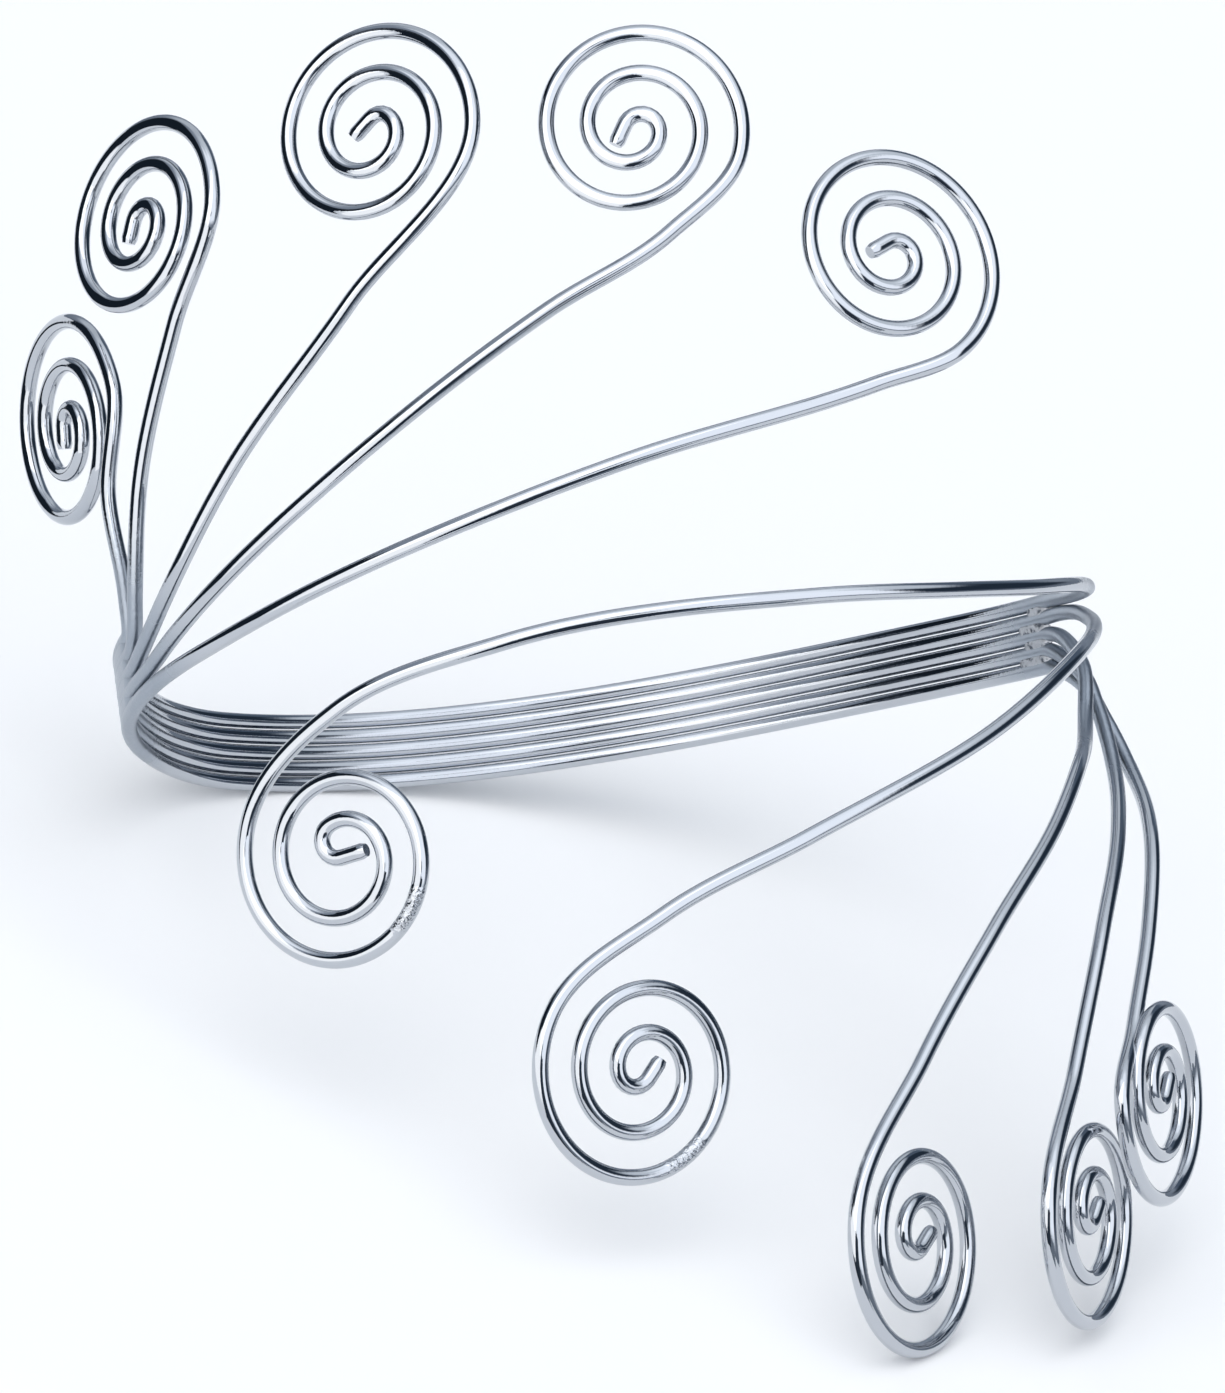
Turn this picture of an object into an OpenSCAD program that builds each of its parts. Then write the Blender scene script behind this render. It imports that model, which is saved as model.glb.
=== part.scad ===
// Upper arm cuff bent from five round metal wires, in mm.
// The wires lie side by side as an oval band behind the arm and are soldered
// together at both ends of it. At the left end they fan out upwards over the
// front of the arm, at the right end downwards, and every wire end is rolled
// into a flat open spiral. All of it is one piece of metal.
// Own frame of the cuff: x to the right, y to the back, z along the arm, the
// middle of the oval at the origin. Round angle 0 is the right tip of the
// oval, 90 the back, 180 the left tip, 270 (or -90) the front.
// Last, the cuff is laid down as it lies on a table.

/* [Wire] */
// Thickness of each round wire
wire_d = 1.3; // [1:0.05:2]
// Middle to middle distance of neighbouring wires in the band
wire_pitch = 1.38; // [1.3:0.01:2.2]

/* [Band] */
// Half width of the oval band, to the middle of the wire
band_a = 40.5; // [34:0.5:48]
// Half depth of the oval band, to the middle of the wire
band_b = 34; // [28:0.5:42]
// Round angle where the wires leave the band at the right
right_end = 24; // [15:1:40]
// Round angle where the wires leave the band at the left
left_end = 196; // [185:1:205]
// Round angle where the left end of the band starts to climb
rise_from = 146; // [140:1:180]
// Climb of the left end of the band
left_rise = 2.8; // [0:0.1:5]
// How far the left end is bent in from the oval
left_in = 0.62; // [0:0.02:2]
// Round angle where the right end of the band starts to fall
fall_from = 70; // [40:1:90]
// Fall of the right end of the band
right_fall = 0.7; // [0:0.05:3]
// Waviness of the band, up at its right third and down at its left third
band_wave = 0.35; // [0:0.05:1]

/* [Solder] */
// Thickness of the rough beads between the wires at the right end
bead_d = 0.84; // [0.6:0.02:1.2]
// Depth of those beads inside the oval
bead_in = 0.25; // [0:0.05:0.6]
// Thickness of the smooth fill between the wires at the left end
fill_depth = 0.6; // [0.3:0.05:0.8]
// Height of that fill in each groove
fill_h = 1.1; // [0.6:0.05:1.4]
// Round angle where the fill at the left end starts
fill_from = 178; // [170:1:190]

/* [Lying down] */
// Tip back of the cuff
rest_tip = -33.4; // [-90:0.1:90]
// Roll to the side
rest_roll = -23.5; // [-90:0.1:90]
// Turn about the upright
rest_turn = 10.3; // [-180:0.1:180]
// Where the middle of the oval comes to lie, to the right
rest_x = -1.9; // [-60:0.1:60]
// Where the middle of the oval comes to lie, to the back
rest_y = 12.3; // [-60:0.1:60]
// Height of the middle of the oval above the table
rest_lift = 26.55; // [0:0.05:60]

/* [Hidden] */
// Corners and corner radius of the wire section, of the area of the round wire
sides = 8;
corner_r = wire_d / 2 * sqrt(2 * PI / (sides * sin(360 / sides)));
// Angle step along spirals and hooks, round angle step along the band
coil_step = 26;
band_step = 8;
// Longest step along the stems
stem_step = 5;

// Spirals, one row each. wire counts from the top of the band; x, y, z is the
// middle; face is the way it looks, 0 straight to the front, plus to the right;
// lean tips the face up; r0, r1 outer and inner radius; entry is the angle at
// which the stem comes in; turns; then the closing hook, its radius and angle,
// and the straight leg.
WIRE = 0; X = 1; Y = 2; Z = 3; FACE = 4; LEAN = 5; R0 = 6; R1 = 7;
ENTRY = 8; TURNS = 9; HOOK_R = 10; HOOK = 11; LEG = 12;
upper = [
    [5,  26.6, -28.5,  24.3,  27,   4, 9.4, 2.0, -60, 2.15, 1.5, 105, 2.0],
    [4,   7.8, -33.5,  36.0,  -3,   2, 8.6, 1.9, -20, 2.05, 1.4, 135, 1.8],
    [3, -12.7, -32.0,  39.0, -24,   7, 9.0, 1.9,  -5, 2.10, 1.2,  80, 2.0],
    [2, -32.3, -21.5,  36.8, -45,  11, 9.1, 1.9,   0, 2.10, 1.5, 110, 1.8],
    [1, -41.4,  -5.6,  24.3, -60,   0, 9.6, 2.1,  10, 2.10, 1.5, 110, 1.8]];
lower = [
    [1, -22.6, -29.5, -17.4, -27,  -2, 9.0, 2.8, 140, 1.90, 1.4, 160, 2.3],
    [2,  -1.8, -33.8, -37.5,  31, -13, 9.2, 2.0, 150, 2.10, 1.5, 120, 1.8],
    [3,  17.4, -29.5, -53.0,  57,  -9, 9.2, 2.5, 170, 1.95, 1.6, 145, 2.1],
    [4,  31.4, -20.0, -52.2,  66, -10, 9.2, 2.5, 180, 1.95, 1.6, 145, 2.1],
    [5,  39.0, -11.7, -42.8,  66,  -9, 9.2, 2.5, 190, 1.95, 1.6, 145, 2.1]];

// Ways of the stems over the round of the arm, in the order of the spirals:
// round angle, distance outside the oval, height
upper_ways = [
    [[203.5, -0.6, 0.8], [212, -0.5, 1.4], [220, -0.4, 2.05], [234, 0, 3.6], [275, 0, 9.7],
     [305, 1, 14]],
    [[206.4, -0.45, 2.7], [211.2, -0.3, 3.65], [220, 0, 5.7], [246, 0, 14], [269, 0.2, 22.4],
     [283, 1.3, 27]],
    [[201, -0.5, 3.8], [206.2, -0.25, 5], [211.5, 0, 6.8], [228, 0, 15.5], [247, 1, 25.5]],
    [[200.2, -0.4, 5.6], [203.5, -0.1, 8.5], [209.5, 0, 17], [222, 0.5, 28]],
    [[198.5, -0.4, 9], [200.5, 0.4, 16.8]]];
lower_ways = [
    [[11.5, -0.3, 1.1], [-3, -0.5, 0.1], [-18, -0.2, -0.95], [-32, 0, -1.95], [-46, 0, -2.4],
     [-65, 0, -2.4], [-101, 0, -3], [-121, 1, -5.8]],
    [[18.8, 0, 0.33], [13.9, 0, -0.17], [5.8, -0.2, -1.6], [-3, -0.4, -3.1], [-22, 0, -7],
     [-44, -0.1, -13.9], [-71, 0.6, -21.3], [-88, 2.7, -26.2]],
    [[19.9, 0, -1.46], [17.3, -0.1, -2.33], [14, -0.3, -3.77], [10.5, -0.6, -5.4], [5, -1.8, -9.7],
     [-16.8, -2.7, -16.1], [-28, -2.6, -20.8], [-47, -1, -29.4], [-62, 1.5, -39.5]],
    [[21, 0.1, -2.93], [18.3, 0.3, -4.15], [15.3, 0.5, -5.76], [12.5, 0.4, -8.2], [5.3, -0.1, -14],
     [-8, -0.9, -20.6], [-24, -0.9, -29.2], [-38, -0.2, -41]],
    [[22.2, 0.2, -4.07], [19.6, 0.5, -5], [17.5, 0.95, -6.26], [15.1, 1.6, -9.4], [11, 1.95, -13.4],
     [-3, 1.6, -20.7], [-14, 0.9, -29.3], [-25, 0.7, -37.6]]];

// Round angles from and to which solder beads fill the four grooves at the right
bead_rows = [[27.5, 21.5], [30, 22], [29.3, 22], [30.8, 22.4]];

function unit(v) = v / norm(v);
function backwards(v) = [for (i = [len(v) - 1 : -1 : 0]) v[i]];
function from_second(v) = [for (i = [1 : len(v) - 1]) v[i]];

// A point beside the oval band
function beside(t, out, z) =
    let (n = unit([cos(t) / band_a, sin(t) / band_b]))
    [band_a * cos(t) + out * n[0], band_b * sin(t) + out * n[1], z];

// Height of a band wire, or of the groove below it at wire + 0.5
function band_z(t, wire) =
    (3 - wire) * wire_pitch
    + left_rise * pow(max(0, (t - rise_from) / (left_end - rise_from)), 1.45)
    - right_fall * pow(max(0, (fall_from - t) / (fall_from - right_end)), 2)
    - band_wave * cos(3 * t);

// Distance of the band from the oval, with a soft bend inwards before the left end
function band_out(t) = let (u = max(0, min(1, (t - 148) / 24))) -left_in * u * u * (3 - 2 * u);

function band_point(t, wire) = beside(t, band_out(t), band_z(t, wire));

// Spiral, hook and leg, flat: polar steps inwards, then an arc, then straight
function spiral_point(r, a) =
    let (f = a / (r[TURNS] * 360), q = r[R0] + (r[R1] - r[R0]) * f)
    [q * cos(r[ENTRY] + a), q * sin(r[ENTRY] + a)];
function spiral_line(r) =
    let (n = ceil(r[TURNS] * 360 / coil_step)) [for (i = [0 : n]) spiral_point(r, r[TURNS] * 360 * i / n)];
function spiral_heading(r) =
    let (a = r[TURNS] * 360, d = spiral_point(r, a) - spiral_point(r, a - 1)) atan2(d[1], d[0]);
function hook_line(r) =
    let (h = spiral_heading(r), n = ceil(r[HOOK] / coil_step), p = spiral_point(r, r[TURNS] * 360),
         c = p + r[HOOK_R] * [-sin(h), cos(h)])
    [for (i = [1 : n]) let (a = h + r[HOOK] * i / n) c + r[HOOK_R] * [sin(a), -cos(a)]];
function flat_line(r) =
    let (h = hook_line(r), a = spiral_heading(r) + r[HOOK])
    concat(spiral_line(r), h, [h[len(h) - 1] + r[LEG] * [cos(a), sin(a)]]);

// The same line put in its place and facing its way
function in_place(r, p) =
    let (f = r[FACE], l = r[LEAN], n = [sin(f) * cos(l), -cos(f) * cos(l), sin(l)],
         u = [cos(f), sin(f), 0], v = cross(n, u))
    [r[X], r[Y], r[Z]] + p[0] * u + p[1] * v;
function spiral(r) = [for (p = flat_line(r)) in_place(r, p)];

// Smooth line through points with given directions at both ends
function slope(p, i) =
    let (a = norm(p[i] - p[i - 1]), b = norm(p[i + 1] - p[i]))
    ((p[i + 1] - p[i]) * a / b + (p[i] - p[i - 1]) * b / a) / (a + b);
function smooth(p, first, last) =
    let (n = len(p) - 1, t = concat([first], [for (i = [1 : 1 : n - 1]) slope(p, i)], [last]))
    concat([p[0]], [for (i = [0 : n - 1]) let (d = norm(p[i + 1] - p[i]), m = max(2, ceil(d / stem_step)))
        for (j = [1 : m]) let (u = j / m)
            p[i] * (2 * pow(u, 3) - 3 * u * u + 1) + d * t[i] * (pow(u, 3) - 2 * u * u + u)
            + p[i + 1] * (3 * u * u - 2 * pow(u, 3)) + d * t[i + 1] * (pow(u, 3) - u * u)]);

// Stem and spiral of one wire end, starting at the end of the band
function wire_end(r, way, t, dir) =
    let (a = band_point(t, r[WIRE]), first = unit(band_point(t + dir * 0.1, r[WIRE]) - a),
         s = spiral(r), last = unit(s[1] - s[0]),
         w = [for (q = way) beside(q[0], q[1], q[2])])
    concat(smooth(concat([a], w, [s[0]]), first, last), from_second(s));

function band_line(wire) =
    let (n = ceil((left_end - right_end) / band_step))
    [for (i = [1 : n - 1]) band_point(right_end + (left_end - right_end) * i / n, wire)];

// Round bar along a line; its corners keep level with the band at point k
function headings(p) =
    let (n = len(p) - 1, d = [for (i = [0 : n - 1]) unit(p[i + 1] - p[i])])
    [for (i = [0 : n]) unit(d[max(i - 1, 0)] + d[min(i, n - 1)])];
function carried(t, from, to, step) =
    [for (i = from, u = unit([0, 0, 1] - t[from][2] * t[from]); i * step <= to * step;
          i = i + step, u = i * step <= to * step ? unit(u - (u * t[i]) * t[i]) : u) u];

module bar(p, k) {
    n = len(p);
    t = headings(p);
    u = concat(backwards(from_second(carried(t, k, 0, -1))), carried(t, k, n - 1, 1));
    pts = [for (i = [0 : n - 1]) let (v = cross(t[i], u[i])) for (j = [0 : sides - 1])
        let (a = 360 * (j + 0.5) / sides) p[i] + corner_r * (cos(a) * u[i] + sin(a) * v)];
    near = [for (j = [0 : sides - 1]) j];
    far = [for (j = [sides - 1 : -1 : 0]) (n - 1) * sides + j];
    skin = [for (i = [0 : n - 2]) for (j = [0 : sides - 1])
        let (a = i * sides + j, b = i * sides + (j + 1) % sides)
            each [[a, a + sides, b], [b, a + sides, b + sides]]];
    polyhedron(pts, concat([near], skin, [far]), convexity = 10);
}

// One wire from the leg of its lower spiral to the leg of its upper spiral
module wire(i) {
    low = backwards(wire_end(lower[i - 1], lower_ways[i - 1], right_end, -1));
    up = wire_end(upper[5 - i], upper_ways[5 - i], left_end, 1);
    bar(concat(low, band_line(i), up), len(low));
}

// Rough beads in the grooves inside the right end of the band
module bead(t, groove) {
    translate(beside(t, -bead_in, band_z(t, groove + 0.5))) sphere(d = bead_d, $fn = 6);
}

module right_solder() {
    for (g = [1 : 4])
        let (a = bead_rows[g - 1][0], b = bead_rows[g - 1][1], m = (a + b) / 2) {
            hull() {
                bead(a, g);
                bead(m, g);
            }
            hull() {
                bead(m, g);
                bead(b, g);
            }
        }
}

// Smooth flat fill in the grooves outside the left end of the band
module fill(t, groove) {
    turn = atan2(sin(t) / band_b, cos(t) / band_a);
    translate(beside(t, band_out(t) + fill_depth / 2, band_z(t, groove + 0.5)))
        rotate(turn) cube([fill_depth, 0.2, fill_h], center = true);
}

module left_solder() {
    step = (left_end - fill_from) / 3;
    for (g = [1 : 4], i = [0 : 2])
        hull() {
            fill(fill_from + i * step, g);
            fill(fill_from + (i + 1) * step, g);
        }
}

module cuff() {
    color([0.72, 0.75, 0.79]) translate([rest_x, rest_y, rest_lift])
        rotate([rest_tip, rest_roll, rest_turn]) {
            for (i = [1 : 5]) wire(i);
            right_solder();
            left_solder();
        }
}

cuff();
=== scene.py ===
from math import atan2, ceil, copysign, cos, radians, sin

import bpy
from mathutils import Euler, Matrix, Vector


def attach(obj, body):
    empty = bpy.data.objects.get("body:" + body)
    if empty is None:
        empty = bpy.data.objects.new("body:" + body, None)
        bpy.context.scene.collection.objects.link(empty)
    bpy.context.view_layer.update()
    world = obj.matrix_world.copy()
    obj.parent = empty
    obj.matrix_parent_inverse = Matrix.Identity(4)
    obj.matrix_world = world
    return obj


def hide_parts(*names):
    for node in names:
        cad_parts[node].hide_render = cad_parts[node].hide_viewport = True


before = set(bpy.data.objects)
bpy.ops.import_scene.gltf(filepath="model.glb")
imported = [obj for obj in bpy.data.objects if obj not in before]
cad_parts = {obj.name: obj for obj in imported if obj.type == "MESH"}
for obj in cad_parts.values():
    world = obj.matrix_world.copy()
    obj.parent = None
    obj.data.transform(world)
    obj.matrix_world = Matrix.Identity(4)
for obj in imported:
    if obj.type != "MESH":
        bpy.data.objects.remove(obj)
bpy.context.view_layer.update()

# The way the cuff lies on a table, tipped on the rim of one spiral and the lower back edge of the band. Its
# own frame, in mm, has x to the right, y to the back and z along the arm, with the oval's middle at 0.
MM = 0.001
REST_TURN = Euler((radians(-33.4), radians(-23.5), radians(10.3)), "XYZ").to_matrix()
REST_PLACE = Vector((-1.9, 12.3, 26.55))


def laid_down(p):
    """A point of the cuff's own frame, where it comes to lie, in metres."""
    return (REST_TURN @ Vector(p) + REST_PLACE) * MM


# Five round wires, each one length of drawn brass from spiral to spiral, bent by hand with round-nosed
# pliers, plated and tumbled to a mirror. They lie side by side as an oval band at the back of the arm, and
# fan out over its front as stems: upwards from the band's left end, downwards from its right end.

# Thickness, and distance between wire middles in the band, in mm
WIRE_D = 1.3
WIRE_PITCH = 1.38
# Half width and half depth of the oval, and the round angles of the band's two ends: 0 is the right tip, 90
# the back
BAND_A, BAND_B = 40.5, 34.0
RIGHT_END, LEFT_END = 24.0, 196.0
# Where the left end starts to climb, by how much and how steeply it does so towards its end, and the same
# for the fall of the right end
RISE_FROM, LEFT_RISE, RISE_POWER = 146.0, 2.8, 1.45
FALL_FROM, RIGHT_FALL, FALL_POWER = 70.0, 0.7, 2
# Height of the waves in the band and their number on a full round, and where and how far its left end
# bends in
BAND_WAVE, BAND_WAVES = 0.35, 3
IN_FROM, IN_TO, LEFT_IN = 148.0, 172.0, 0.62

# Middle, the way it faces (0 straight to the front, plus to the right), lean of the face upwards, outer and
# inner radius, angle at which the stem comes in, turns, radius and angle of the closing hook, length of its
# straight leg
SPIRAL = ("wire", "x", "y", "z", "face", "lean", "outer", "inner", "entry", "turns", "hook_r", "hook", "leg")
UPPER = (
    (5, 26.6, -28.5, 24.3, 27, 4, 9.4, 2.0, -60, 2.15, 1.5, 105, 2.0),
    (4, 7.8, -33.5, 36.0, -3, 2, 8.6, 1.9, -20, 2.05, 1.4, 135, 1.8),
    (3, -12.7, -32.0, 39.0, -24, 7, 9.0, 1.9, -5, 2.10, 1.2, 80, 2.0),
    (2, -32.3, -21.5, 36.8, -45, 11, 9.1, 1.9, 0, 2.10, 1.5, 110, 1.8),
    (1, -41.4, -5.6, 24.3, -60, 0, 9.6, 2.1, 10, 2.10, 1.5, 110, 1.8),
)
LOWER = (
    (1, -22.6, -29.5, -17.4, -27, -2, 9.0, 2.8, 140, 1.90, 1.4, 160, 2.3),
    (2, -1.8, -33.8, -37.5, 31, -13, 9.2, 2.0, 150, 2.10, 1.5, 120, 1.8),
    (3, 17.4, -29.5, -53.0, 57, -9, 9.2, 2.5, 170, 1.95, 1.6, 145, 2.1),
    (4, 31.4, -20.0, -52.2, 66, -10, 9.2, 2.5, 180, 1.95, 1.6, 145, 2.1),
    (5, 39.0, -11.7, -42.8, 66, -9, 9.2, 2.5, 190, 1.95, 1.6, 145, 2.1),
)
# Ways of the stems over the round of the arm, in the order of the spirals above: round angle, distance
# outside the oval, height
UPPER_WAYS = (
    ((203.5, -0.6, 0.8), (212, -0.5, 1.4), (220, -0.4, 2.05), (234, 0, 3.6), (275, 0, 9.7), (305, 1, 14)),
    ((206.4, -0.45, 2.7), (211.2, -0.3, 3.65), (220, 0, 5.7), (246, 0, 14), (269, 0.2, 22.4), (283, 1.3, 27)),
    ((201, -0.5, 3.8), (206.2, -0.25, 5), (211.5, 0, 6.8), (228, 0, 15.5), (247, 1, 25.5)),
    ((200.2, -0.4, 5.6), (203.5, -0.1, 8.5), (209.5, 0, 17), (222, 0.5, 28)),
    ((198.5, -0.4, 9), (200.5, 0.4, 16.8)),
)
LOWER_WAYS = (
    ((11.5, -0.3, 1.1), (-3, -0.5, 0.1), (-18, -0.2, -0.95), (-32, 0, -1.95), (-46, 0, -2.4), (-65, 0, -2.4),
     (-101, 0, -3), (-121, 1, -5.8)),
    ((18.8, 0, 0.33), (13.9, 0, -0.17), (5.8, -0.2, -1.6), (-3, -0.4, -3.1), (-22, 0, -7), (-44, -0.1, -13.9),
     (-71, 0.6, -21.3), (-88, 2.7, -26.2)),
    ((19.9, 0, -1.46), (17.3, -0.1, -2.33), (14, -0.3, -3.77), (10.5, -0.6, -5.4), (5, -1.8, -9.7),
     (-16.8, -2.7, -16.1), (-28, -2.6, -20.8), (-47, -1, -29.4), (-62, 1.5, -39.5)),
    ((21, 0.1, -2.93), (18.3, 0.3, -4.15), (15.3, 0.5, -5.76), (12.5, 0.4, -8.2), (5.3, -0.1, -14),
     (-8, -0.9, -20.6), (-24, -0.9, -29.2), (-38, -0.2, -41)),
    ((22.2, 0.2, -4.07), (19.6, 0.5, -5), (17.5, 0.95, -6.26), (15.1, 1.6, -9.4), (11, 1.95, -13.4),
     (-3, 1.6, -20.7), (-14, 0.9, -29.3), (-25, 0.7, -37.6)),
)
# Steps along the lines: degrees in a spiral, where a hook has twice as many, parts of a leg, degrees in the
# band, mm in a stem
COIL_STEP = 2.0
LEG_PARTS = 4
BAND_STEP = 1.0
STEM_STEP = 0.7


def beside(turn, out, height):
    """The point beside the oval at a round angle, in mm."""
    c, s = cos(radians(turn)), sin(radians(turn))
    n = Vector((c / BAND_A, s / BAND_B, 0)).normalized()
    return Vector((BAND_A * c, BAND_B * s, height)) + out * n


def band_height(turn, wire):
    """Height of a wire in the band, of which wire 3 is the middle one."""
    climb = LEFT_RISE * max(0.0, (turn - RISE_FROM) / (LEFT_END - RISE_FROM)) ** RISE_POWER
    fall = RIGHT_FALL * max(0.0, (FALL_FROM - turn) / (FALL_FROM - RIGHT_END)) ** FALL_POWER
    return (3 - wire) * WIRE_PITCH + climb - fall - BAND_WAVE * cos(radians(BAND_WAVES * turn))


def band_out(turn):
    """How far the band lies outside the oval: below 0 near its left end, which bends in."""
    u = max(0.0, min(1.0, (turn - IN_FROM) / (IN_TO - IN_FROM)))
    return -LEFT_IN * u * u * (3 - 2 * u)


def band_point(turn, wire):
    return beside(turn, band_out(turn), band_height(turn, wire))


def spiral_line(row):
    """Spiral, closing hook and straight leg of one wire end, outside in."""
    s = dict(zip(SPIRAL, row))
    sweep = s["turns"] * 360

    def coil(a):
        r = s["outer"] + (s["inner"] - s["outer"]) * a / sweep
        return Vector((r * cos(radians(s["entry"] + a)), r * sin(radians(s["entry"] + a))))

    n = ceil(sweep / COIL_STEP)
    flat = [coil(sweep * i / n) for i in range(n + 1)]
    along = coil(sweep) - coil(sweep - 0.01)
    heading = atan2(along.y, along.x)
    middle = flat[-1] + s["hook_r"] * Vector((-sin(heading), cos(heading)))
    n = ceil(s["hook"] / (2 * COIL_STEP))
    for i in range(1, n + 1):
        a = heading + radians(s["hook"]) * i / n
        flat.append(middle + s["hook_r"] * Vector((sin(a), -cos(a))))
    leg = s["leg"] * Vector((cos(a), sin(a)))
    flat += [flat[-1] + leg * i / LEG_PARTS for i in range(1, LEG_PARTS + 1)]

    face, lean = radians(s["face"]), radians(s["lean"])
    out = Vector((sin(face) * cos(lean), -cos(face) * cos(lean), sin(lean)))
    across = Vector((cos(face), sin(face), 0))
    up = out.cross(across)
    return [Vector((s["x"], s["y"], s["z"])) + p.x * across + p.y * up for p in flat]


def smooth_line(points, first, last):
    """A line through the points with the given directions at its two ends."""
    slopes = [first]
    for before, here, after in zip(points, points[1:], points[2:]):
        a, b = (here - before).length, (after - here).length
        slopes.append(((after - here) * a / b + (here - before) * b / a) / (a + b))
    slopes.append(last)
    line = [points[0]]
    for (p, q), (s, t) in zip(zip(points, points[1:]), zip(slopes, slopes[1:])):
        d = (q - p).length
        n = ceil(d / STEM_STEP)
        for i in range(1, n + 1):
            u = i / n
            line.append(p * (2 * u ** 3 - 3 * u * u + 1) + d * s * (u ** 3 - 2 * u * u + u)
                        + q * (3 * u * u - 2 * u ** 3) + d * t * (u ** 3 - u * u))
    return line


def wire_end(row, way, turn, side):
    """Stem and spiral of one wire end, from the end of the band on."""
    start = band_point(turn, row[0])
    first = (band_point(turn + side * 0.1, row[0]) - start).normalized()
    spiral = spiral_line(row)
    last = (spiral[1] - spiral[0]).normalized()
    return smooth_line([start, *(beside(*w) for w in way), spiral[0]], first, last) + spiral[1:]


def wire_line(wire):
    """The middle line of a wire, from the leg of its lower spiral to the leg of its upper one."""
    low = wire_end(LOWER[wire - 1], LOWER_WAYS[wire - 1], RIGHT_END, -1)
    up = wire_end(UPPER[5 - wire], UPPER_WAYS[5 - wire], LEFT_END, 1)
    n = round((LEFT_END - RIGHT_END) / BAND_STEP)
    band = [band_point(RIGHT_END + (LEFT_END - RIGHT_END) * i / n, wire) for i in range(1, n)]
    return low[::-1] + band + up


def add(tree, kind, settings=None, **links):
    """Adds a node, sets its properties and unlinked inputs, and links the others. A link is given by its
    input's name, or as i and its number. In a Mix node inputs 6 and 7 and output 2 are the colours."""
    node = tree.nodes.new(kind)
    for name, value in (settings or {}).items():
        if isinstance(name, str) and hasattr(node, name):
            setattr(node, name, value)
        else:
            node.inputs[name].default_value = value
    for name, socket in links.items():
        key = int(name[1:]) if name[0] == "i" and name[1:].isdigit() else name.replace("_", " ")
        tree.links.new(socket, node.inputs[key])
    return node


def linear(hex_colour):
    """An sRGB hex colour as the linear one that a shader takes."""
    channels = (int(hex_colour[i:i + 2], 16) / 255 for i in (1, 3, 5))
    return tuple(c / 12.92 if c <= 0.04045 else ((c + 0.055) / 1.055) ** 2.4 for c in channels) + (1.0,)


def wire_tree():
    """Draws a round wire along a line: round section, slightly uneven by hand, with cut and filed ends."""
    tree = bpy.data.node_groups.new("drawn wire", "GeometryNodeTree")
    face = tree.interface
    face.new_socket("Line", in_out="INPUT", socket_type="NodeSocketGeometry")
    for name in ("Thickness", "Spacing", "Filed end", "Tip", "Waver", "Waver length", "Seed"):
        face.new_socket(name, in_out="INPUT", socket_type="NodeSocketFloat")
    face.new_socket("Sides", in_out="INPUT", socket_type="NodeSocketInt")
    face.new_socket("Finish", in_out="INPUT", socket_type="NodeSocketMaterial")
    face.new_socket("Wire", in_out="OUTPUT", socket_type="NodeSocketGeometry")
    given = tree.nodes.new("NodeGroupInput").outputs

    curve = add(tree, "GeometryNodeMeshToCurve", Mesh=given["Line"])
    even = add(tree, "GeometryNodeResampleCurve", {"mode": "LENGTH"}, Curve=curve.outputs[0],
               Length=given["Spacing"])

    place = add(tree, "GeometryNodeInputPosition")
    scale = add(tree, "ShaderNodeMath", {"operation": "DIVIDE", 0: 1.0}, i1=given["Waver length"])
    noise = add(tree, "ShaderNodeTexNoise", {"noise_dimensions": "4D", "Detail": 1.0},
                Vector=place.outputs[0], W=given["Seed"], Scale=scale.outputs[0])
    centred = add(tree, "ShaderNodeVectorMath", {"operation": "SUBTRACT", 1: (0.5, 0.5, 0.5)},
                  i0=noise.outputs["Color"])
    shift = add(tree, "ShaderNodeVectorMath", {"operation": "SCALE"}, i0=centred.outputs[0],
                Scale=given["Waver"])
    wavered = add(tree, "GeometryNodeSetPosition", Geometry=even.outputs[0], Offset=shift.outputs[0])

    along = add(tree, "GeometryNodeSplineParameter")
    whole = add(tree, "GeometryNodeSplineLength")
    passed = along.outputs["Length"]
    left = add(tree, "ShaderNodeMath", {"operation": "SUBTRACT"}, i0=whole.outputs[0], i1=passed)
    from_end = add(tree, "ShaderNodeMath", {"operation": "MINIMUM"}, i0=passed, i1=left.outputs[0])
    filed = add(tree, "ShaderNodeMapRange", {"interpolation_type": "SMOOTHSTEP", "To Max": 1.0},
                Value=from_end.outputs[0], From_Max=given["Filed end"], To_Min=given["Tip"])
    half = add(tree, "ShaderNodeMath", {"operation": "MULTIPLY", 1: 0.5}, i0=given["Thickness"])
    ring = add(tree, "GeometryNodeCurvePrimitiveCircle", Resolution=given["Sides"], Radius=half.outputs[0])
    skin = add(tree, "GeometryNodeCurveToMesh", {"Fill Caps": True}, Curve=wavered.outputs[0],
               Profile_Curve=ring.outputs[0], Scale=filed.outputs[0])
    soft = add(tree, "GeometryNodeSetShadeSmooth", Geometry=skin.outputs[0])
    real = add(tree, "GeometryNodeRealizeInstances", Geometry=soft.outputs[0])
    dressed = add(tree, "GeometryNodeSetMaterial", Geometry=real.outputs[0], Material=given["Finish"])
    add(tree, "NodeGroupOutput", Wire=dressed.outputs[0])
    return tree


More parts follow.
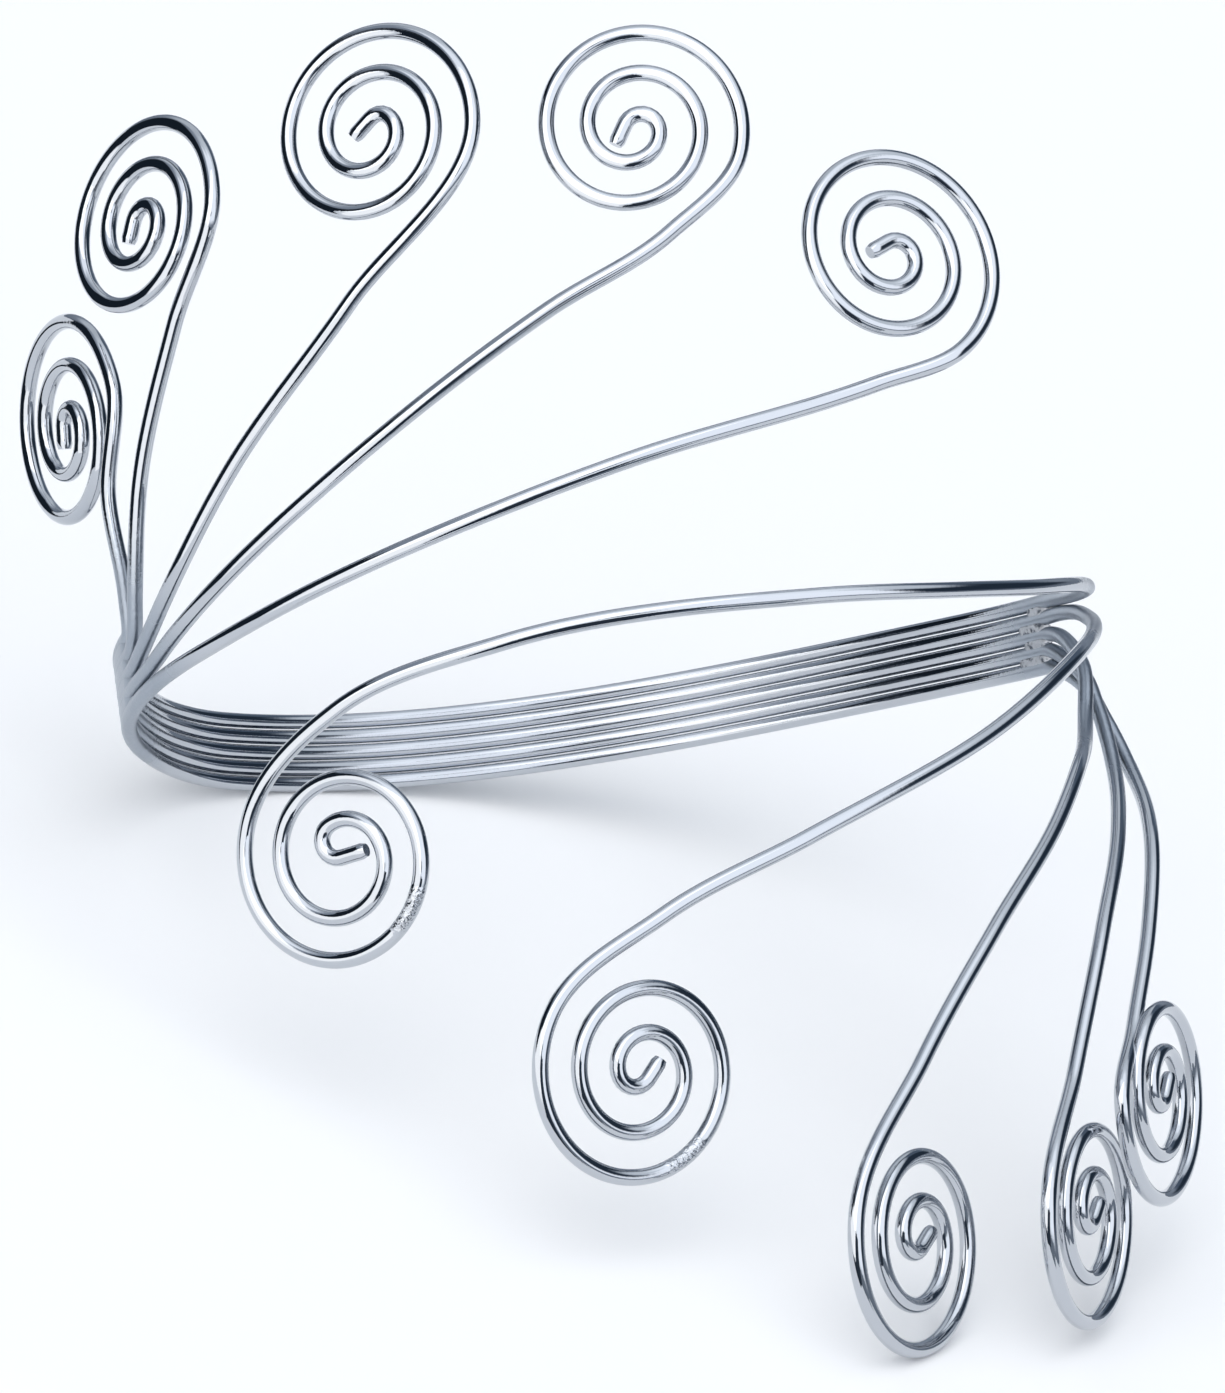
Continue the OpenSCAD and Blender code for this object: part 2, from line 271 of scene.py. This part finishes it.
def made(name, points, edges, faces, tree, sizes, material):
    """Runs a tree on a line or a plain closed form and keeps the result as a plain mesh."""
    plain = bpy.data.meshes.new(name + " line")
    plain.from_pydata([laid_down(p) for p in points], edges, faces)
    maker = bpy.data.objects.new(name + " maker", plain)
    bpy.context.collection.objects.link(maker)
    modifier = maker.modifiers.new("make", "NODES")
    modifier.node_group = tree
    for socket in tree.interface.items_tree:
        if socket.item_type == "SOCKET" and socket.in_out == "INPUT" and socket.name in sizes:
            modifier[socket.identifier] = sizes[socket.name]
        elif socket.item_type == "SOCKET" and socket.name == "Finish":
            modifier[socket.identifier] = material
    seen = maker.evaluated_get(bpy.context.evaluated_depsgraph_get())
    mesh = bpy.data.meshes.new_from_object(seen)
    mesh.name = name
    piece = bpy.data.objects.new(name, mesh)
    bpy.context.collection.objects.link(piece)
    maker.modifiers.remove(modifier)
    bpy.data.objects.remove(maker)
    return piece


def on_cuff(piece):
    """Shows a piece in place of the plain CAD node."""
    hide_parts("cuff")
    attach(piece, "root")


def near(tree, spot, place, full, gone):
    """1 within the first distance of a place, falling to 0 at the second, in mm."""
    away = add(tree, "ShaderNodeVectorMath", {"operation": "DISTANCE", 1: laid_down(place)}, i0=spot)
    return add(tree, "ShaderNodeMapRange", {"interpolation_type": "SMOOTHSTEP", "From Min": full * MM,
                                            "From Max": gone * MM, "To Min": 1.0, "To Max": 0.0},
               Value=away.outputs["Value"]).outputs[0]


def most(tree, fields):
    """The greatest of some fields at each spot."""
    greatest = fields[0]
    for field in fields[1:]:
        greatest = add(tree, "ShaderNodeMath", {"operation": "MAXIMUM"}, i0=greatest, i1=field).outputs[0]
    return greatest


# The plating where it is mirror-like, with the span of its roughness, and where it is satin
POLISHED, POLISHED_LEAST, POLISHED_MOST = "#bfc3c9", 0.02, 0.08
SATIN, SATIN_ROUGH = "#a0a8b2", 0.3
# Sizes in mm: the clouds of more and less polish, the scuffs, drawn as coarse as they need to be to show, and
# the nicks of the pliers' jaws
CLOUD_SIZE = 3.0
SCUFF_SIZE, SCUFF_DEPTH = 0.35, 0.08
NICK_SIZE, NICK_DEPTH = 0.3, 0.15
# Share of the scuffs that tumbling left on the polished wire
SCUFFS_LEFT = 0.1
# Round angle and height of the middles of the two satin parts, at the ends of the band, which the solder work
# dulled, and how far they reach; they fade from half of that on
SATIN_PARTS = ((190.0, 1.5, 19.0), (8.0, -1.0, 20.0))
# Where pliers held a wire on a lower spiral: which one, counted from 0, and the angle past its stem's entry,
# and how far from there the nicks are full and then gone
PLIER_MARKS = ((0, 176), (1, 148))
PLIER_FULL, PLIER_REACH = 1.61, 2.3


def plated_wire():
    """Silver-coloured plating over brass, tumbled with steel shot: it mirrors the room as bright and
    near-black streaks, a little blurred by fine scuffs. Round the two ends of the band it is satin and
    grainy, and where pliers held it small nicks break the streaks up."""
    material = bpy.data.materials.new("tumbled bright plating on brass wire")
    material.use_nodes = True
    tree = material.node_tree
    tree.nodes.clear()
    spot = add(tree, "ShaderNodeTexCoord").outputs["Object"]
    satin = most(tree, [near(tree, spot, beside(turn, 0, height), reach / 2, reach)
                        for turn, height, reach in SATIN_PARTS])
    colour = add(tree, "ShaderNodeMix", {"data_type": "RGBA", 6: linear(POLISHED), 7: linear(SATIN)},
                 i0=satin).outputs[2]
    cloud = add(tree, "ShaderNodeTexNoise", {"Scale": 1 / (CLOUD_SIZE * MM), "Detail": 3.0}, Vector=spot)
    bright = add(tree, "ShaderNodeMapRange", {"From Min": 0.35, "From Max": 0.75, "To Min": POLISHED_LEAST,
                                              "To Max": POLISHED_MOST}, Value=cloud.outputs["Fac"])
    rough = add(tree, "ShaderNodeMath", {"operation": "MULTIPLY_ADD", 1: SATIN_ROUGH}, i0=satin,
                i2=bright.outputs[0])
    scuff = add(tree, "ShaderNodeTexNoise", {"Scale": 1 / (SCUFF_SIZE * MM), "Detail": 4.0}, Vector=spot)
    kept = add(tree, "ShaderNodeMath", {"operation": "MULTIPLY_ADD", 1: 1 - SCUFFS_LEFT, 2: SCUFFS_LEFT},
               i0=satin)
    worn = add(tree, "ShaderNodeMath", {"operation": "MULTIPLY"}, i0=scuff.outputs["Fac"], i1=kept.outputs[0])
    scuffs = add(tree, "ShaderNodeBump", {"Strength": 0.5, "Distance": SCUFF_DEPTH * MM},
                 Height=worn.outputs[0])
    grips = [spiral_line(LOWER[spiral])[round(angle / COIL_STEP)] for spiral, angle in PLIER_MARKS]
    held = most(tree, [near(tree, spot, grip, PLIER_FULL, PLIER_REACH) for grip in grips])
    nick = add(tree, "ShaderNodeTexNoise", {"Scale": 1 / (NICK_SIZE * MM), "Detail": 2.0}, Vector=spot)
    nicks = add(tree, "ShaderNodeMath", {"operation": "MULTIPLY"}, i0=nick.outputs["Fac"], i1=held)
    marked = add(tree, "ShaderNodeBump", {"Strength": 1.0, "Distance": NICK_DEPTH * MM},
                 Height=nicks.outputs[0], Normal=scuffs.outputs[0])
    metal = add(tree, "ShaderNodeBsdfPrincipled", {"Metallic": 1.0}, Base_Color=colour,
                Roughness=rough.outputs[0], Normal=marked.outputs[0])
    add(tree, "ShaderNodeOutputMaterial", Surface=metal.outputs[0])
    return material


wire_finish = plated_wire()
wires = wire_tree()
for number in range(1, 6):
    line = wire_line(number)
    sizes = {"Thickness": WIRE_D * MM, "Spacing": 0.4 * MM, "Sides": 24, "Filed end": 0.25 * MM, "Tip": 0.8,
             "Waver": 0.03 * MM, "Waver length": 9 * MM, "Seed": float(number)}
    edges = [(i, i + 1) for i in range(len(line) - 1)]
    on_cuff(made(f"wire_{number}", line, edges, [], wires, sizes, wire_finish))

# Silver solder inside the right end of the band. It fills the four grooves nearly flush for half a
# centimetre, was never filed, and stays rough, pitted and matt. It leaves a fine gap under the wire above it.

# Round angles from and to which it fills each groove, from the top one down
BEAD_TURNS = ((21.5, 27.5), (22.0, 30.0), (22.0, 29.3), (22.4, 30.8))
# In mm: middle outside the oval, half depth, half height and drop below the middle of the groove
BEAD_OUT, BEAD_DEEP, BEAD_WIDE, BEAD_DOWN = -0.33, 0.30, 0.44, 0.07
# Degrees over which an end tapers, and the part of its thickness that it ends with
BEAD_TAPER, BEAD_BLUNT = 2.0, 0.05
# Steps along a bar and round its section, in degrees, and how round its corners are, from 0, which is a box,
# to 1, which is an ellipse
SEAM_STEP = 0.25
SECTION_STEP = 15
CORNER_POWER = 0.5


def bar(groove, turns, out, deep, wide, down, taper, blunt):
    """A closed bar in the groove under a wire, with rounded corners and ends that taper to a part of its
    thickness: rings of points and the faces of its skin."""
    start, end = turns
    n = ceil((end - start) / SEAM_STEP)
    angles = [radians(SECTION_STEP * i) for i in range(360 // SECTION_STEP)]
    ring = [(copysign(abs(cos(a)) ** CORNER_POWER, cos(a)), copysign(abs(sin(a)) ** CORNER_POWER, sin(a)))
            for a in angles]
    k = len(ring)
    points, faces = [], []
    for i in range(n + 1):
        turn = start + (end - start) * i / n
        middle = (band_height(turn, groove) + band_height(turn, groove + 1)) / 2 - down
        near_end = min(1.0, min(turn - start, end - turn) / taper)
        full = blunt + (1 - blunt) * sin(radians(90 * near_end))
        points += [beside(turn, band_out(turn) + (out + deep * b) * full, middle + wide * a * full)
                   for a, b in ring]
    for here in range(0, n * k, k):
        after = here + k
        faces += [(here + j, here + (j + 1) % k, after + (j + 1) % k, after + j) for j in range(k)]
    faces += [tuple(range(k))[::-1], tuple(range(n * k, n * k + k))]
    return points, faces


def solder_tree():
    """Roughens a closed form of solder: shallow lumps all over it and pits where it shrank."""
    tree = bpy.data.node_groups.new("solder skin", "GeometryNodeTree")
    face = tree.interface
    face.new_socket("Form", in_out="INPUT", socket_type="NodeSocketGeometry")
    face.new_socket("Fineness", in_out="INPUT", socket_type="NodeSocketInt")
    for name in ("Lump height", "Lump size", "Pit depth", "Pit size", "Seed"):
        face.new_socket(name, in_out="INPUT", socket_type="NodeSocketFloat")
    face.new_socket("Finish", in_out="INPUT", socket_type="NodeSocketMaterial")
    face.new_socket("Solder", in_out="OUTPUT", socket_type="NodeSocketGeometry")
    given = tree.nodes.new("NodeGroupInput").outputs

    fine = add(tree, "GeometryNodeSubdivideMesh", Mesh=given["Form"], Level=given["Fineness"])
    place = add(tree, "GeometryNodeInputPosition")
    lump_scale = add(tree, "ShaderNodeMath", {"operation": "DIVIDE", 0: 1.0}, i1=given["Lump size"])
    lumps = add(tree, "ShaderNodeTexNoise", {"noise_dimensions": "4D", "Detail": 1.0},
                Vector=place.outputs[0], W=given["Seed"], Scale=lump_scale.outputs[0])
    raised = add(tree, "ShaderNodeMath", {"operation": "SUBTRACT", 1: 0.6}, i0=lumps.outputs["Fac"])
    lifted = add(tree, "ShaderNodeMath", {"operation": "MULTIPLY"}, i0=raised.outputs[0],
                 i1=given["Lump height"])
    pit_scale = add(tree, "ShaderNodeMath", {"operation": "DIVIDE", 0: 1.0}, i1=given["Pit size"])
    pits = add(tree, "ShaderNodeTexNoise", {"noise_dimensions": "4D", "Detail": 2.0},
               Vector=place.outputs[0], W=given["Seed"], Scale=pit_scale.outputs[0])
    sunk = add(tree, "ShaderNodeMapRange", {"interpolation_type": "SMOOTHSTEP", "From Min": 0.54,
                                            "From Max": 0.66}, Value=pits.outputs["Fac"])
    depth = add(tree, "ShaderNodeMath", {"operation": "MULTIPLY"}, i0=sunk.outputs[0], i1=given["Pit depth"])
    height = add(tree, "ShaderNodeMath", {"operation": "SUBTRACT"}, i0=lifted.outputs[0], i1=depth.outputs[0])
    normal = add(tree, "GeometryNodeInputNormal")
    shift = add(tree, "ShaderNodeVectorMath", {"operation": "SCALE"}, i0=normal.outputs[0],
                Scale=height.outputs[0])
    # The material paints shade into the pits by this attribute
    noted = add(tree, "GeometryNodeStoreNamedAttribute", {"data_type": "FLOAT", "domain": "POINT",
                                                          "Name": "pit"},
                Geometry=fine.outputs[0], Value=sunk.outputs[0])
    skin = add(tree, "GeometryNodeSetPosition", Geometry=noted.outputs[0], Offset=shift.outputs[0])
    soft = add(tree, "GeometryNodeSetShadeSmooth", Geometry=skin.outputs[0])
    real = add(tree, "GeometryNodeRealizeInstances", Geometry=soft.outputs[0])
    dressed = add(tree, "GeometryNodeSetMaterial", Geometry=real.outputs[0], Material=given["Finish"])
    add(tree, "NodeGroupOutput", Solder=dressed.outputs[0])
    return tree


# Colours of the solder's skin and of the painted shade in its pits, and size and depth of its grain in mm
SOLDER, PAINTED_PIT_SHADE = "#c3c6cb", "#737982"
GRAIN_SIZE, GRAIN_DEPTH = 0.15, 0.04


def cast_solder():
    """Solder as it set: it scatters the light, so it reads as a light grey patch between the wires'
    streaks, and its pits are painted darker, as painted shade."""
    material = bpy.data.materials.new("silver solder, unfiled and pitted")
    material.use_nodes = True
    tree = material.node_tree
    tree.nodes.clear()
    spot = add(tree, "ShaderNodeTexCoord").outputs["Object"]
    pit = add(tree, "ShaderNodeAttribute", {"attribute_name": "pit"}).outputs["Fac"]
    grain = add(tree, "ShaderNodeTexNoise", {"Scale": 1 / (GRAIN_SIZE * MM), "Detail": 4.0}, Vector=spot)
    # Random grain tone, plus painted shade where the pits are
    shade = add(tree, "ShaderNodeMath", {"operation": "MULTIPLY_ADD", 1: 0.5}, i0=grain.outputs["Fac"],
                i2=pit)
    ramp = add(tree, "ShaderNodeValToRGB", i0=shade.outputs[0])
    # The first stop is the solder's own colour, the second the painted shade in its pits
    flush, pitted = ramp.color_ramp.elements
    flush.color, flush.position = linear(SOLDER), 0.2
    pitted.color, pitted.position = linear(PAINTED_PIT_SHADE), 1.0
    rough = add(tree, "ShaderNodeMapRange", {"To Min": 0.32, "To Max": 0.55}, Value=grain.outputs["Fac"])
    bump = add(tree, "ShaderNodeBump", {"Strength": 0.6, "Distance": GRAIN_DEPTH * MM},
               Height=grain.outputs["Fac"])
    metal = add(tree, "ShaderNodeBsdfPrincipled", {"Metallic": 1.0}, Base_Color=ramp.outputs["Color"],
                Roughness=rough.outputs[0], Normal=bump.outputs[0])
    add(tree, "ShaderNodeOutputMaterial", Surface=metal.outputs[0])
    return material


cast = cast_solder()
skin = solder_tree()
for groove, turns in enumerate(BEAD_TURNS, 1):
    points, faces = bar(groove, turns, BEAD_OUT, BEAD_DEEP, BEAD_WIDE, BEAD_DOWN, BEAD_TAPER, BEAD_BLUNT)
    sizes = {"Fineness": 1, "Lump height": 0.12 * MM, "Lump size": 1.1 * MM, "Pit depth": 0.09 * MM,
             "Pit size": 0.45 * MM, "Seed": float(groove)}
    on_cuff(made(f"bead_{groove}", points, [], faces, skin, sizes, cast))

# The same solder outside the left end, where the stems part. There it was rubbed down flush with the wires,
# so wires and solder are one smooth satin surface up to where the grooves between the stems open. Its sizes
# are given as those of the beads are.
FILL_TURNS = ((178.0, 197.6), (178.0, 197.6), (178.0, 197.0), (178.0, 195.8))
FILL_OUT, FILL_DEEP, FILL_WIDE = 0.32, 0.31, 0.60
FILL_TAPER, FILL_BLUNT = 3.0, 0.05
for groove, turns in enumerate(FILL_TURNS, 1):
    points, faces = bar(groove, turns, FILL_OUT, FILL_DEEP, FILL_WIDE, 0, FILL_TAPER, FILL_BLUNT)
    sizes = {"Fineness": 1, "Lump height": 0.02 * MM, "Lump size": 1.5 * MM, "Pit depth": 0.0,
             "Pit size": 0.45 * MM, "Seed": float(groove)}
    on_cuff(made(f"fill_{groove}", points, [], faces, skin, sizes, wire_finish))

# The table top under the cuff, far wider than the view, covered with matt white paper. It takes the cuff's
# soft shadow, and the undersides of the wires mirror it as a light grey.
TABLE_SIZE = 8000
PAPER = "#fbfbfb"
bpy.ops.mesh.primitive_plane_add(size=TABLE_SIZE * MM)
table = bpy.context.object
table.name = "table"
# Uncoated paper is even and without gloss, so it reads as a plain pale ground
paper = bpy.data.materials.new("matt white paper")
paper.use_nodes = True
sheet = paper.node_tree.nodes["Principled BSDF"]
sheet.inputs["Base Color"].default_value = linear(PAPER)
sheet.inputs["Roughness"].default_value = 0.9
table.data.materials.append(paper)

# Low bent cards close round the cuff, as are set up to give silver its dark and bright streaks. They stand
# just outside the picture and show only as reflections.

# Azimuth from and to (0 towards the camera, plus to the right), section as distance and height in mm, colour,
# strength
CARDS = (
    ("black card on the left", -114, -62, ((104, 1), (150, 1), (190, 120)), "#1d2630", 1.0),
    ("white card by the camera", -58, -4, ((88, 1), (150, 1), (180, 70)), "#ffffff", 1.6),
    ("dark card by the camera", 0, 27, ((68, 1), (150, 1), (168, 74)), "#333c48", 1.0),
    ("grey card on the right", 27, 50, ((92, 1), (150, 1), (170, 27)), "#7d8793", 1.0),
)
# Step round a card's bend, in degrees
CARD_STEP = 4
for name, left, right, section, colour, strength in CARDS:
    n = ceil((right - left) / CARD_STEP)
    turns = [radians(left + (right - left) * i / n) for i in range(n + 1)]
    points = [Vector((r * sin(a), -r * cos(a), z)) * MM for a in turns for r, z in section]
    k = len(section)
    faces = [(here + j, here + j + 1, here + k + j + 1, here + k + j) for here in range(0, n * k, k)
             for j in range(k - 1)]
    bent = bpy.data.meshes.new(name)
    bent.from_pydata(points, [], faces)
    card = bpy.data.objects.new(name.replace(" ", "_"), bent)
    bpy.context.collection.objects.link(card)
    glow = bpy.data.materials.new(name)
    glow.use_nodes = True
    glow.node_tree.nodes.clear()
    lamp = add(glow.node_tree, "ShaderNodeEmission", {"Color": linear(colour), "Strength": strength})
    add(glow.node_tree, "ShaderNodeOutputMaterial", Surface=lamp.outputs[0])
    bent.materials.append(glow)
    card.visible_camera = card.visible_diffuse = card.visible_shadow = False

# The studio further off: pale walls and ceiling, big soft panels by the camera, dark cards at the sides. The
# camera sees a plain white ground in place of them.
WALL, GROUND = "#9aa4b2", "#f7f8fa"
# Azimuth from and to, elevation from and to, softness of the edge, all in degrees, colour, strength; a later
# row covers an earlier one
PANELS = (
    ("back wall", -181, 181, -91, 12, 14, "#8e99a8", 0.75),
    ("ceiling", -181, 181, 48, 91, 14, "#dfe6ee", 1.15),
    ("lamp over the table", -181, 181, 70, 95, 8, "#eef3fa", 1.6),
    ("big panel by the camera, left", -60, 0, -20, 91, 7, "#ffffff", 2.3),
    ("big panel by the camera, right", -2, 76, 10, 91, 7, "#f4f8ff", 1.6),
    ("pale wall behind on the left", -181, -126, 22, 50, 8, "#dfe6ee", 0.95),
    ("upper panel on the left", -100, -58, 46, 80, 8, "#f4f8ff", 1.5),
    ("dark card on the left", -122, -63, -30, 26, 5, "#1c2733", 0.5),
    ("dark strip behind", 118, 190, 22, 50, 6, "#4a5563", 1.6),
    ("dark card on the right", 70, 150, 10, 48, 6, "#27323f", 1.25),
    ("camera", 0, 10, 22, 29, 2, "#39424e", 1.0),
)


def smooth_band(tree, value, low, high, soft):
    """1 between low and high, falling to 0 over the soft edge."""
    rise = add(tree, "ShaderNodeMapRange", {"interpolation_type": "SMOOTHSTEP", "From Min": low - soft,
                                            "From Max": low + soft}, Value=value)
    fall = add(tree, "ShaderNodeMapRange", {"interpolation_type": "SMOOTHSTEP", "From Min": high - soft,
                                            "From Max": high + soft, "To Min": 1.0, "To Max": 0.0},
               Value=value)
    both = add(tree, "ShaderNodeMath", {"operation": "MULTIPLY"}, i0=rise.outputs[0], i1=fall.outputs[0])
    return both.outputs[0]


world = bpy.data.worlds.new("studio")
bpy.context.scene.world = world
world.use_nodes = True
room = world.node_tree
room.nodes.clear()
# The azimuth and elevation, in degrees, of the way that a ray goes
ray = add(room, "ShaderNodeSeparateXYZ", Vector=add(room, "ShaderNodeTexCoord").outputs["Generated"])
towards = add(room, "ShaderNodeMath", {"operation": "MULTIPLY", 1: -1.0}, i0=ray.outputs["Y"])
around = add(room, "ShaderNodeMath", {"operation": "ARCTAN2"}, i0=ray.outputs["X"], i1=towards.outputs[0])
azimuth = add(room, "ShaderNodeMath", {"operation": "DEGREES"}, i0=around.outputs[0])
rise = add(room, "ShaderNodeMath", {"operation": "ARCSINE"}, i0=ray.outputs["Z"])
elevation = add(room, "ShaderNodeMath", {"operation": "DEGREES"}, i0=rise.outputs[0])
# What shines from each direction: the wall's own colour, and over it one panel after another
seen = add(room, "ShaderNodeRGB").outputs[0]
seen.default_value = linear(WALL)
for name, left, right, low, high, soft, colour, strength in PANELS:
    # The edges of one that goes all round lie just past the back, and sharp, so that no seam shows there
    across = smooth_band(room, azimuth.outputs[0], left, right, soft if right - left < 360 else 0.5)
    upwards = smooth_band(room, elevation.outputs[0], low, high, soft)
    where = add(room, "ShaderNodeMath", {"operation": "MULTIPLY"}, i0=across, i1=upwards)
    lit = tuple(c * strength for c in linear(colour)[:3]) + (1.0,)
    layer = add(room, "ShaderNodeMix", {"data_type": "RGBA", "label": name}, i0=where.outputs[0], i6=seen)
    layer.inputs[7].default_value = lit
    seen = layer.outputs[2]
studio = add(room, "ShaderNodeBackground", Color=seen)
plain = add(room, "ShaderNodeBackground", {"Color": linear(GROUND), "Strength": 1.0})
straight = add(room, "ShaderNodeLightPath").outputs["Is Camera Ray"]
both = add(room, "ShaderNodeMixShader", i0=straight, i1=studio.outputs[0], i2=plain.outputs[0])
add(room, "ShaderNodeOutputWorld", Surface=both.outputs[0])
bpy.context.scene.view_settings.view_transform = "Standard"

# The camera looks at the cuff at the photograph's angle, from half a metre away. In the cuff's own frame it
# looks to the back and 9 degrees up, and is turned 8 degrees about its line of sight.

# Height and focal length of the photograph, in its pixels, and sensor, distance and offsets, in mm
PHOTO_H = 1393
FOCAL_PX = 6292
SENSOR = 36.0
DISTANCE = 520.0
OFF_RIGHT, OFF_UP = -0.4, 3.05
TILT, ROLL = radians(9), radians(8)
sight = Vector((0, cos(TILT), sin(TILT)))
level_right, level_up = Vector((1, 0, 0)), Vector((0, -sin(TILT), cos(TILT)))
right = level_right * cos(ROLL) - level_up * sin(ROLL)
up = level_right * sin(ROLL) + level_up * cos(ROLL)
lens = bpy.data.cameras.new("camera")
lens.sensor_width = SENSOR
lens.lens = FOCAL_PX / PHOTO_H * SENSOR
lens.clip_start, lens.clip_end = 0.01, 20.0
camera = bpy.data.objects.new("camera", lens)
bpy.context.collection.objects.link(camera)
place = laid_down(-right * OFF_RIGHT - up * OFF_UP - sight * DISTANCE)
turned = REST_TURN.copy()
for column, axis in enumerate((right, up, -sight)):
    turned.col[column] = REST_TURN @ axis
camera.matrix_world = turned.to_4x4()
camera.location = place
bpy.context.scene.camera = camera
